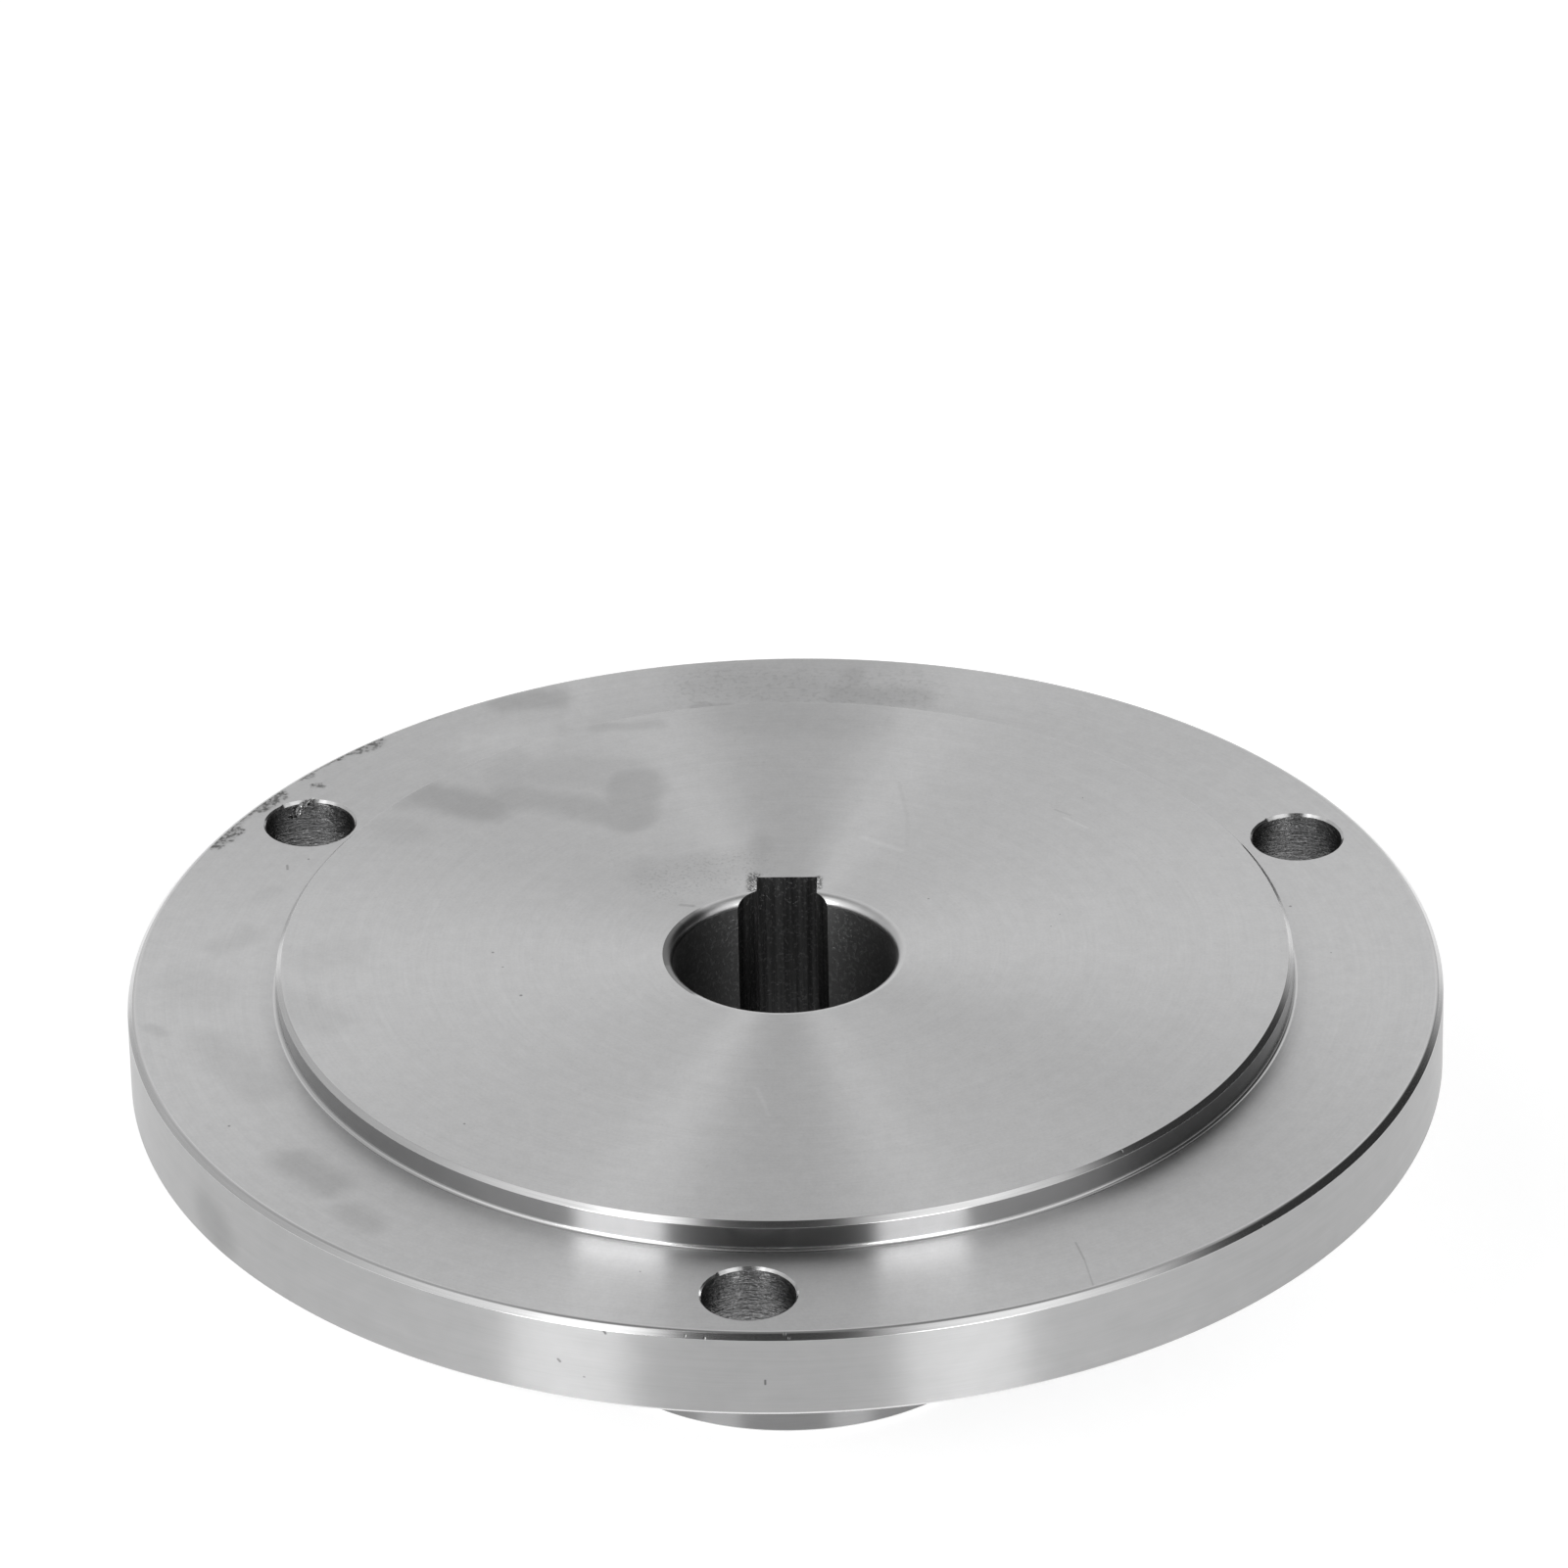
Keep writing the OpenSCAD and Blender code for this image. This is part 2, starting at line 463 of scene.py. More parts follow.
def lay_keyway(skin, sizes):
    """Lays the upright walls of the keyway and of its round relief, with the edges that the broach tore."""
    radii = mouth_radii(sizes)

    def column(side, radius):
        turn = recess_angle(sizes, radius, side)
        across, along = side * radius * math.sin(turn), radius * math.cos(turn)
        torn = torn_reach(sizes, side, along)
        top = mouth_top(sizes, radius)
        return [
            Vector((across, along, mouth_bottom(sizes, radius))),
            Vector((across, along, top - torn * TORN_SLOPE)),
            Vector((across + side * torn, along, top)),
        ]

    ends = []
    for side in (-1, 1):
        corner = corner_reach(sizes, side)
        end = math.hypot(sizes.key_half, sizes.key_floor)
        steps = math.ceil((end - radii[-1]) / TORN_STEP)
        far = [radii[-1] + (end - radii[-1]) * step / steps for step in range(1, steps + 1)]
        relief = [column(side, radius) for radius in radii if radius <= corner + WELD]
        wall = [column(side, radius) for radius in radii + far if radius >= corner - WELD]
        skin.strips([points[::2] for points in relief], "keyway")
        skin.strips([points[:2] for points in wall], "keyway")
        skin.strips([points[1:] for points in wall], "torn")
        ends.append(wall[-1][::2])
    skin.strips(ends, "keyway")


def bolt_centres(sizes):
    """Centres of the bolt holes at the shoulder, the first of them across from the keyway."""
    turns = [sizes.bolt_turn + math.tau * index / sizes.bolt_count for index in range(sizes.bolt_count)]
    return [polar(sizes.bolt_circle, turn, sizes.shoulder) for turn in turns]


# How far and how often the hand-held deburring wavers, and how soon it thins out after its start
DEBURR_WAVER = 0.025 * MM
DEBURR_RATE = 9
DEBURR_FALL = 0.4


def lay_bolt_holes(skin, sizes):
    """Lays the drilled walls, with mouths deburred by hand: widest where the tool first bites."""

    def burr_width(turn):
        passed = (sizes.deburr_start - turn) % math.tau / math.tau
        ragged = noise.noise(polar(DEBURR_RATE, turn)) * DEBURR_WAVER
        return sizes.deburr_wide + (sizes.deburr_thin - sizes.deburr_wide) * passed ** DEBURR_FALL + ragged

    def upper_reach(turn):
        return sizes.bolt_radius + burr_width(turn)

    def upper_foot(turn):
        return sizes.shoulder - burr_width(turn)

    for centre in bolt_centres(sizes):
        steps = sizes.hole_steps
        lower = circle(sizes.bolt_radius, sizes.underside + sizes.back_deburr, steps, centre)
        upper = circle(sizes.bolt_radius, upper_foot, steps, centre)
        skin.strips([lower, upper], "drilled", closed=True)
        skin.strips([upper, circle(upper_reach, sizes.shoulder, steps, centre)], "deburred", closed=True)
        mouth = circle(sizes.bolt_radius + sizes.back_deburr, sizes.underside, steps, centre)
        skin.strips([mouth, lower], "deburred", closed=True)


# The curl of swarf on the left hole's edge. Each point has its direction from the hole's middle in degrees,
# then its distance from there, its depth below the shoulder and its half thickness in millimetres.
CURL = (
    (86, 4.85, 0.05, 0.07),
    (91, 4.75, 0.12, 0.22),
    (97, 4.5, 0.3, 0.34),
    (104, 4.2, 0.45, 0.42),
    (111, 4.0, 0.75, 0.4),
    (117, 4.05, 1.15, 0.34),
    (121, 4.3, 1.4, 0.2),
    (124, 4.55, 1.5, 0.08),
)
# The curl's sides, its rings from point to point, how far it may rise, and how torn it is and how often
CURL_SIDES = 14
CURL_PARTS = 4
CURL_RISE = 0.25 * MM
CURL_TEAR = 0.6
CURL_RATE = (0.5, 2, 2)


def curl_ring(centre, step):
    """Points round the curl of swarf at one step along it, from its hole's centre at the shoulder."""
    index = min(step // CURL_PARTS, len(CURL) - 2)
    share = step / CURL_PARTS - index
    turn, reach, depth, half = Vector(CURL[index]).lerp(Vector(CURL[index + 1]), share)
    spoke = polar(1, math.radians(turn))
    middle = centre + (spoke * reach - Vector((0, 0, depth))) * MM
    points = []
    for side in range(CURL_SIDES):
        around = math.tau * side / CURL_SIDES
        way = spoke * math.cos(around) + Vector((0, 0, math.sin(around)))
        where = Vector((step, math.cos(around), math.sin(around))) * Vector(CURL_RATE)
        point = middle + way * half * (1 + CURL_TEAR * noise.noise(where)) * MM
        point.z = min(point.z, centre.z + CURL_RISE)
        points.append(point)
    return points


def lay_curl(sizes):
    """The curl of swarf that the drill left hanging on the left hole's edge, as a torn, closed sliver."""
    centre = bolt_centres(sizes)[-1]
    mesh = bmesh.new()
    steps = range((len(CURL) - 1) * CURL_PARTS + 1)
    rings = [[mesh.verts.new(point) for point in curl_ring(centre, step)] for step in steps]
    for lower, upper in zip(rings, rings[1:]):
        for side in range(CURL_SIDES):
            after = (side + 1) % CURL_SIDES
            mesh.faces.new((lower[side], lower[after], upper[after], upper[side]))
    mesh.faces.new(rings[0][::-1])
    mesh.faces.new(rings[-1])
    bmesh.ops.recalc_face_normals(mesh, faces=mesh.faces[:])
    return mesh


# Shader expressions


class Signal:
    """A socket of a node tree. Arithmetic on it adds Math nodes."""

    def __init__(self, graph, socket):
        self.graph = graph
        self.socket = socket

    def out(self, name):
        """Another output of the same node."""
        return Signal(self.graph, self.socket.node.outputs[name])

    def __add__(self, other):
        return self.graph.math("ADD", self, other)

    def __sub__(self, other):
        return self.graph.math("SUBTRACT", self, other)

    def __rsub__(self, other):
        return self.graph.math("SUBTRACT", other, self)

    def __mul__(self, other):
        return self.graph.math("MULTIPLY", self, other)

    def __truediv__(self, other):
        return self.graph.math("DIVIDE", self, other)

    def __rtruediv__(self, other):
        return self.graph.math("DIVIDE", other, self)

    def __abs__(self):
        return self.graph.math("ABSOLUTE", self)

    __radd__ = __add__
    __rmul__ = __mul__


class Graph:
    """The node tree of a material or of the world."""

    def __init__(self, tree):
        self.tree = tree
        tree.nodes.clear()

    def add(self, kind, settings=None, sockets=None, output=0):
        """Adds a node of a type, with its settings and then the values or links of its sockets."""
        node = self.tree.nodes.new(kind)
        for name, value in (settings or {}).items():
            setattr(node, name, value)
        for name, value in (sockets or {}).items():
            if isinstance(value, Signal):
                self.tree.links.new(value.socket, node.inputs[name])
            else:
                node.inputs[name].default_value = value
        return Signal(self, node.outputs[output]) if node.outputs else None

    def math(self, operation, *values):
        """Arithmetic on numbers."""
        return self.add("ShaderNodeMath", {"operation": operation}, dict(enumerate(values)))

    def vector(self, operation, *values, output=0):
        """Vector arithmetic."""
        return self.add("ShaderNodeVectorMath", {"operation": operation}, dict(enumerate(values)), output)

    def combine(self, x, y, z):
        """A vector from three numbers."""
        return self.add("ShaderNodeCombineXYZ", None, {"X": x, "Y": y, "Z": z})

    def noise(self, where, detail=2.0, roughness=0.5, distortion=0.0):
        """Smooth noise from 0 to 1, about one swell to a unit."""
        sockets = {
            "Vector": where,
            "Scale": 1.0,
            "Detail": detail,
            "Roughness": roughness,
            "Distortion": distortion,
        }
        return self.add("ShaderNodeTexNoise", {"noise_dimensions": "3D"}, sockets)

    def ease(self, value, start, end, top=1.0):
        """Rises smoothly from 0 at start to top at end, or the other way where end is the lower."""
        sockets = {"Value": value, "From Min": start, "From Max": end, "To Max": top}
        return self.add("ShaderNodeMapRange", {"interpolation_type": "SMOOTHSTEP"}, sockets)

    def mix(self, share, first, second):
        """Mixes two colours, also past them.

        A Mix node has its colours in sockets 6 and 7, and in output 2.
        """
        sockets = {0: share, 6: first, 7: second}
        return self.add("ShaderNodeMix", {"data_type": "RGBA", "clamp_factor": False}, sockets, output=2)


class Place:
    """Where a point of the surface lies, in millimetres."""

    def __init__(self, graph):
        self.graph = graph
        self.spot = self.scaled(graph.add("ShaderNodeTexCoord").out("Object"), 1 / MM)
        self.x = graph.add("ShaderNodeSeparateXYZ", None, {0: self.spot})
        self.y = self.x.out("Y")
        self.z = self.x.out("Z")
        self.plan = graph.vector("MULTIPLY", self.spot, (1.0, 1.0, 0.0))
        self.radius = graph.vector("LENGTH", self.plan, output=1)

    def scaled(self, where, share):
        """A place times a number, or times one for each axis."""
        shares = share if isinstance(share, tuple) else (share, share, share)
        return self.graph.vector("MULTIPLY", where, shares)

    def swells(self, rate, **settings):
        """Noise with so many swells to the millimetre, the same along each axis or one number for each."""
        return self.graph.noise(self.scaled(self.spot, rate), **settings)

    def lay(self, across, pitch, strokes):
        """Tool marks round the axis: a swell each pitch across them, and so many strokes to the turn."""
        arc = strokes / math.tau
        where = self.graph.combine(across / pitch, self.x / self.radius * arc, self.y / self.radius * arc)
        return self.graph.noise(where, detail=3.0)

    def near(self, start, end, reach, soft, share=1.0, where=None):
        """The share along a stretch from start to end, fading to 0 over soft beyond its reach.

        Points with two numbers are in plan.
        """
        graph = self.graph
        where = where or (self.plan if len(start) == 2 else self.spot)
        base, tip = Vector((*start, 0.0)[:3]), Vector((*end, 0.0)[:3])
        span = tip - base
        nearest = base
        if span.length:
            way = span / span.length_squared
            ends = {"From Min": base.dot(way), "From Max": tip.dot(way)}
            along = graph.vector("DOT_PRODUCT", where, way, output=1)
            along = graph.add("ShaderNodeMapRange", None, {"Value": along, **ends})
            nearest = graph.vector("MULTIPLY_ADD", along, span, base)
        return graph.ease(graph.vector("DISTANCE", where, nearest, output=1), reach + soft, reach, share)

    def wander(self, where, pitch, reach):
        """A place shifted by swells of noise, for ragged outlines."""
        graph = self.graph
        swell = graph.noise(self.scaled(where, 1 / pitch)).out("Color")
        shift = graph.vector("SUBTRACT", swell, (0.5, 0.5, 0.5))
        return graph.vector("MULTIPLY_ADD", shift, Vector((2, 2, 2)) * reach, where)

    def speckle(self, pitch, full, none):
        """Small specks about a pitch apart: 1 where the noise is at full, 0 where it is at none."""
        return self.graph.ease(self.swells(1 / pitch, detail=3.0), none, full)


def new_material(name):
    """A new material, and the graph of its nodes."""
    material = bpy.data.materials.new(name)
    material.use_nodes = True
    return material, Graph(material.node_tree)


def steel(name, finish, look):
    """Makes a material from a function that returns its surface."""
    material, graph = new_material(name)
    graph.add("ShaderNodeOutputMaterial", None, {"Surface": finish(Place(graph), look)})
    return material


def metal(place, colour, roughness, height, anisotropy=0.0):
    """The steel's shader. The height is in millimetres, and the lay runs round the axis."""
    normal = place.graph.add("ShaderNodeBump", None, {"Strength": 1.0, "Distance": MM, "Height": height})
    sockets = {
        "Base Color": colour,
        "Metallic": 1.0,
        "Roughness": roughness,
        "Anisotropic": anisotropy,
        "Anisotropic Rotation": 0.25,
        "Normal": normal,
    }
    return place.graph.add("ShaderNodeBsdfPrincipled", None, sockets)


def opaque(colour):
    """A property's colour with its alpha."""
    return (*colour, 1.0)


# Marks, in millimetres: from, to, how far the mark reaches, how soft its edge is, and the share of the
# steel's tone that it takes away. A mark with a share below nothing is lighter than the steel.
TOP_SMUDGES = (
    ((-38.6, 29.6), (-36.6, 31.2), 0.3, 2.4, 0.10),
    ((-36.6, 31.2), (-34.4, 30.2), 1.0, 2.8, 0.19),
    ((-34.6, 30.2), (-30.6, 28.4), 1.1, 3.0, 0.21),
    ((-31.0, 28.9), (-27.6, 30.4), 1.0, 3.0, 0.15),
    ((-27.6, 30.4), (-22.5, 29.2), 0.8, 2.8, 0.14),
    ((-22.5, 29.2), (-18.6, 27.2), 0.8, 2.8, 0.15),
    ((-16.2, 26.4), (-15.7, 33.6), 1.9, 2.0, 0.16),
    ((-19.4, 35.1), (-15.6, 34.2), 1.2, 2.6, 0.08),
    ((-28.8, 38.6), (-28.3, 31.0), 0.8, 3.0, 0.08),
    ((-24.0, 35.5), (-17.5, 35.0), 1.8, 3.0, 0.08),
    ((-39.2, 23.8), (-38.4, 23.4), 0.8, 3.0, 0.07),
    ((-30.5, 38.8), (-25.5, 42.0), 0.3, 2.6, -0.06),
    ((-19.8, 44.4), (-13.4, 45.2), 0.2, 1.3, 0.12),
    ((-6.6, 46.6), (7.2, 45.6), 1.2, 4.0, 0.06),
    ((-47.6, -9.4), (-44.8, -12.4), 1.0, 3.6, 0.08),
    ((-46.0, -1.0), (-43.4, 0.4), 0.8, 3.2, 0.06),
    ((-3.1, 15.8), (-2.8, 21.6), 0.3, 1.5, 0.10),
    ((-13.7, 15.4), (-5.1, 17.0), 0.8, 3.6, 0.08),
)
SHOULDER_SMUDGES = (
    ((-52.8, 16.1), (-51.3, 17.4), 0.3, 1.4, 0.06),
    ((-56.1, 6.4), (-53.5, 9.0), 0.5, 2.2, 0.07),
    ((-61.9, -8.6), (-60.7, -9.7), 0.2, 1.1, 0.11),
    ((-59.0, 0.0), (-56.7, -2.9), 1.2, 3.4, 0.06),
    ((-56.0, -11.6), (-50.6, -20.4), 0.7, 3.2, 0.09),
    ((-46.4, -33.6), (-42.8, -37.6), 0.4, 3.4, 0.20),
    ((-40.7, -42.6), (-38.5, -45.0), 0.3, 2.6, 0.15),
    ((-29.6, 55.2), (-25.0, 56.0), 0.6, 2.6, 0.17),
    ((-22.3, 58.8), (-22.0, 51.0), 0.8, 0.7, -0.04),
    ((-31.8, 46.4), (-27.0, 47.8), 1.0, 3.6, -0.08),
    ((-9.0, 59.5), (0.0, 57.5), 1.8, 3.4, 0.06),
    ((-10.2, 54.2), (-6.8, 54.1), 0.2, 0.8, 0.15),
    ((4.9, 56.5), (12.7, 55.6), 0.7, 2.6, 0.14),
    ((5.9, 61.0), (6.0, 56.9), 0.4, 1.8, 0.10),
    ((-7.4, 64.1), (-4.0, 64.3), 0.2, 0.5, 0.35),
)
TOP_SCRATCHES = (
    ((11.0, 33.0), (11.9, 26.0), 0.05, 0.3, 0.05),
    ((11.9, 26.0), (11.9, 20.5), 0.05, 0.3, 0.03),
    ((7.4, 22.1), (11.3, 19.4), 0.1, 0.5, -0.07),
    ((27.6, 25.7), (29.9, 23.6), 0.05, 0.22, -0.09),
    ((26.7, 27.3), (28.2, 26.2), 0.05, 0.16, 0.12),
    ((-2.2, -25.6), (-1.0, -30.6), 0.05, 0.3, -0.06),
    ((-10.4, 9.0), (-9.2, 8.8), 0.08, 0.3, 0.2),
)
SHOULDER_SCRATCHES = (
    ((28.3, -48.9), (29.1, -51.9), 0.03, 0.13, 0.22),
    ((29.1, -51.9), (29.9, -56.4), 0.03, 0.12, 0.16),
    ((-50.3, 21.6), (-50.37, 22.4), 0.05, 0.15, 0.35),
)
# Grime by the bore, the chips that the broach tore on each side of the keyway, and a stain at the back
TOP_GRIME = ((-12.0, 13.8), (-4.6, 16.2), 1.5, 4.0, 0.16)
CHIPS_LEFT = ((-3.3, 12.0), (-3.3, 14.6), 0.3, 0.7, 0.7)
CHIPS_RIGHT = ((3.15, 12.2), (3.15, 14.2), 0.15, 0.4, 0.7)
SHOULDER_STAIN = ((-9.0, 58.0), (11.0, 57.0), 2.5, 4.0, 0.1)
# Pits: where they are, and their radius
TOP_PITS = (
    (-28.7, 0.1, 0.17),
    (-27.6, -2.7, 0.13),
    (-25.6, -8.1, 0.2),
    (-30.1, -31.8, 0.15),
    (14.1, 9.9, 0.13),
    (29.5, 29.6, 0.1),
    (26.2, 4.4, 0.1),
    (27.1, 6.7, 0.09),
)
SHOULDER_PITS = (
    (-53.1, -27.1, 0.17),
    (-48.3, 23.6, 0.15),
    (50.0, 13.0, 0.17),
    (53.8, 4.0, 0.1),
    (-12.7, -53.5, 0.12),
)
# Scale left on the rim, as marks that cover the steel whole
SCALE = (
    ((-57.9, 26.9), (-56.3, 29.4), 0.9, 0.6, 1.0),
    ((-57.6, 28.6), (-53.8, 35.0), 0.1, 0.7, 1.0),
    ((-53.9, 34.0), (-51.9, 36.4), 0.8, 0.7, 1.0),
    ((-51.6, 38.6), (-44.5, 46.0), 0.1, 0.5, 1.0),
    ((-50.2, 39.9), (-49.2, 40.8), 0.3, 0.5, 1.0),
    ((-48.6, 38.3), (-48.0, 38.2), 0.25, 0.4, 1.0),
    ((-45.0, 45.6), (-42.8, 47.0), 0.5, 0.7, 1.0),
    ((-42.6, 48.6), (-37.0, 52.8), 0.2, 0.6, 1.0),
)
# A smudge and a few nicks on the rim's wall
RIM_SMUDGES = (
    ((-54.9, -34.3, 33.4), (-53.6, -36.2, 32.6), 0.8, 3.4, 0.2),
    ((-0.8, -64.7, 33.6), (-0.8, -64.7, 34.0), 0.04, 0.12, 0.6),
    ((-20.3, -61.5, 34.4), (-20.1, -61.5, 34.2), 0.06, 0.14, 0.5),
    ((-17.9, -62.2, 32.9), (-17.8, -62.2, 32.9), 0.03, 0.1, 0.4),
    ((-15.9, -62.7, 38.5), (-15.7, -62.8, 38.1), 0.05, 0.15, 0.6),
)
# Painted shade on the left part of the bore's mouth, dark where the lamps' reflections would stand
MOUTH_PAINTED_SHADE = (
    ((-9.8, -7.2), (-11.8, -1.5), 0.8, 1.4, 0.62),
    ((-11.8, -1.5), (-10.8, 4.8), 0.8, 1.4, 0.74),
    ((-10.8, 4.8), (-9.4, 6.9), 0.4, 2.2, 0.66),
)
# Nicks in the chamfers, with their radii
NICKS = (
    (-15.9, -62.9, 0.16),
    (-6.4, -64.3, 0.14),
    (1.1, -64.25, 0.15),
    (1.5, -64.5, 0.12),
    (-8.2, -64.0, 0.1),
    (57.3, -29.3, 0.12),
    (46.0, -45.4, 0.12),
    (32.8, -37.3, 0.14),
)

# The pitch and the reach of the smudges' ragged outlines
RAGGED = (3.5, 0.8)
# The shares of a pit's or a nick's radius that are full and that fade
DOT_FULL = 0.5
DOT_FADE = 0.6
# The share of the tone that a pit takes away
PIT_SHARE = 0.5
# How far scale covers the steel, and what it adds to the roughness
SCALE_COVER = 0.62
SCALE_ROUGHNESS = 0.2
# How deep the marks of each finish are, in millimetres
RING_DEPTH = 0.0012
WALL_DEPTH = 0.0008
EDGE_DEPTH = 0.002
NICK_DEPTH = 0.007
POLISH_DEPTH = 0.004
DEBURRED_DEPTH = 0.012
BORED_DEPTH = 0.004
GRAIN_DEPTH = 0.01
STREAK_DEPTH = 0.022
TORN_DEPTH = 0.09
SWARF_DEPTH = 0.08
WAVE_DEPTH = 0.13
TEAR_DEPTH = 0.04


def most(place, operation, marks, where=None):
    """The greatest or the least share of a few marks, or 0."""
    found = 0
    for mark in marks:
        found = place.graph.math(operation, place.near(*mark, where), found)
    return found


def marked(place, tone, marks, where=None):
    """A tone with marks laid over it. Where marks overlap, the darkest and the lightest count."""
    dark = most(place, "MAXIMUM", [mark for mark in marks if mark[-1] > 0], where)
    light = most(place, "MINIMUM", [mark for mark in marks if mark[-1] < 0], where)
    return tone * (1 - (dark + light))


def dots(place, spots, share):
    """The share in each of a few small round spots."""
    marks = [((x, y), (x, y), radius * DOT_FULL, radius * DOT_FADE, share) for x, y, radius in spots]
    return most(place, "MAXIMUM", marks)


def shaded(place, colour, tone):
    """A property's colour, darker where the tone is low."""
    return place.graph.mix(tone, BLACK, opaque(colour))


def turned_tone(place):
    """The uneven tone of a faced surface: long strokes of the tool round the axis, and a faint mottle."""
    fine = place.lay(place.radius, pitch=0.22, strokes=24)
    broad = place.lay(place.radius, pitch=1.1, strokes=7)
    mottle = place.swells(0.7, detail=4.0)
    grain = place.swells(3.4, detail=1.0)
    return 0.8 + 0.1 * fine + 0.05 * broad + 0.13 * mottle + 0.12 * grain


def faced(place, colour, roughness):
    """The shader of a faced surface, with the fine rings that the tool leaves."""
    rings = place.lay(place.radius, pitch=0.16, strokes=40)
    return metal(place, colour, roughness, RING_DEPTH * rings, anisotropy=0.98)


def top_steel(place, look):
    """The register's face: rings of tool marks, smudges, pits, scratches, and chips by the keyway."""
    tone = marked(place, turned_tone(place), TOP_SMUDGES, place.wander(place.plan, *RAGGED))
    tone = marked(place, tone, TOP_SCRATCHES)
    grimy = place.near(*TOP_GRIME) * place.speckle(pitch=0.35, full=0.36, none=0.46)
    chips = place.near(*CHIPS_LEFT, place.wander(place.plan, pitch=0.5, reach=0.2))
    chips = (chips + place.near(*CHIPS_RIGHT)) * place.speckle(pitch=0.16, full=0.5, none=0.56)
    dusty = 0.06 * place.speckle(pitch=0.5, full=0.28, none=0.38)
    tone = tone * (1 - dusty) * (1 - grimy) * (1 - chips)
    tone = tone * (1 - dots(place, TOP_PITS, PIT_SHARE))
    return faced(place, shaded(place, look.bright, tone), look.face_gloss)


def shoulder_steel(place, look):
    """The shoulder round the register: rings of tool marks, smudges, and scale left at the rim."""
    ragged = place.wander(place.plan, *RAGGED)
    tone = marked(place, turned_tone(place), SHOULDER_SMUDGES, ragged)
    tone = marked(place, tone, SHOULDER_SCRATCHES)
    stained = place.near(*SHOULDER_STAIN) * place.speckle(pitch=0.6, full=0.38, none=0.48)
    tone = tone * (1 - stained) * (1 - dots(place, SHOULDER_PITS, PIT_SHARE))
    scale = most(place, "MAXIMUM", SCALE, place.wander(ragged, pitch=0.6, reach=0.4))
    scale = scale * (0.2 + 0.8 * place.speckle(pitch=0.5, full=0.6, none=0.42))
    colour = place.graph.mix(scale * SCALE_COVER, shaded(place, look.bright, tone), opaque(look.scale))
    return faced(place, colour, look.face_gloss + SCALE_ROUGHNESS * scale)


def back_steel(place, look):
    """Faced steel of the plate's hidden faces, with plain tool marks."""
    return faced(place, shaded(place, look.bright, turned_tone(place)), look.face_gloss)


def wall_steel(place, colour, roughness, marks=()):
    """Steel turned to a diameter, with its marks round the wall."""
    fine = place.lay(place.z, pitch=0.12, strokes=60)
    broad = place.lay(place.z, pitch=0.9, strokes=20)
    mottle = place.swells((0.35, 0.35, 0.5), detail=4.0)
    tone = marked(place, 0.82 + 0.12 * fine + 0.1 * broad + 0.14 * mottle, marks)
    return metal(place, shaded(place, colour, tone), roughness, WALL_DEPTH * fine, anisotropy=1.0)


def rim_steel(place, look):
    """The rim's wall, with a smudge and a few nicks."""
    return wall_steel(place, look.turned, look.wall_gloss, RIM_SMUDGES)


def hub_steel(place, look):
    """The hub's wall, darkened with painted shade for the shadow under the flange."""
    return wall_steel(place, look.hub, look.hub_gloss)


def register_steel(place, look):
    """The register's finely turned wall."""
    return wall_steel(place, look.register, look.register_gloss)


def edge_steel(place, look):
    """Chamfers cut bright, with a few nicks."""
    fine = place.lay(place.z, pitch=0.14, strokes=40)
    height = EDGE_DEPTH * fine - dots(place, NICKS, NICK_DEPTH)
    return metal(place, shaded(place, look.polished, 0.86 + 0.26 * fine), look.edge_gloss, height)


def mouth_steel(place, look):
    """The bore's rounded mouth, polished by hand, with painted shade over its left part."""
    fine = place.graph.noise(place.spot, detail=3.0)
    ragged_shade = place.wander(place.plan, pitch=1.5, reach=0.4)
    # painted shade: the patches darken the mouth's left part
    tone = marked(place, 0.9 + 0.16 * fine, MOUTH_PAINTED_SHADE, ragged_shade)
    return metal(place, shaded(place, look.polished, tone), look.mouth_gloss, POLISH_DEPTH * fine)


def deburred_steel(place, look):
    """The bolt holes' mouths, cut back by hand with a countersink."""
    fine = place.swells((1.5, 1.5, 4.0), detail=3.0)
    colour = shaded(place, look.polished, 0.8 + 0.38 * fine)
    return metal(place, colour, look.deburred_gloss, DEBURRED_DEPTH * fine)


def bore_steel(place, look):
    """The bored wall, with fine marks round it and a few bright specks."""
    fine = place.lay(place.z, pitch=0.15, strokes=20)
    grain = place.speckle(pitch=0.4, full=0.62, none=0.54)
    colour = shaded(place, look.bore, 0.75 + 0.3 * fine + 0.25 * grain)
    height = BORED_DEPTH * fine + GRAIN_DEPTH * grain
    return metal(place, colour, look.bore_gloss, height, anisotropy=0.6)


def keyway_steel(place, look):
    """The broached keyway, streaked from top to bottom."""
    streaks = place.swells((1.5, 1.5, 0.02), detail=4.0)
    grain = place.speckle(pitch=0.3, full=0.64, none=0.56)
    tone = place.graph.ease(streaks, 0.36, 0.62) * 0.55 + 0.4 + 0.35 * grain
    height = STREAK_DEPTH * streaks + GRAIN_DEPTH * grain
    return metal(place, shaded(place, look.broached, tone), look.keyway_gloss, height)


def torn_steel(place, look):
    """The edges that the broach tore, bright and rough."""
    torn = place.swells(5.0, detail=3.0)
    colour = shaded(place, look.polished, 0.45 + 0.9 * torn)
    return metal(place, colour, look.torn_gloss, TORN_DEPTH * torn)


def swarf_steel(place, look):
    """The curl of swarf: dark, with a bright gleam where it bends."""
    torn = place.swells(2.0, detail=2.0)
    colour = shaded(place, look.polished, 0.2 + 0.7 * torn)
    return metal(place, colour, look.swarf_gloss, SWARF_DEPTH * torn)


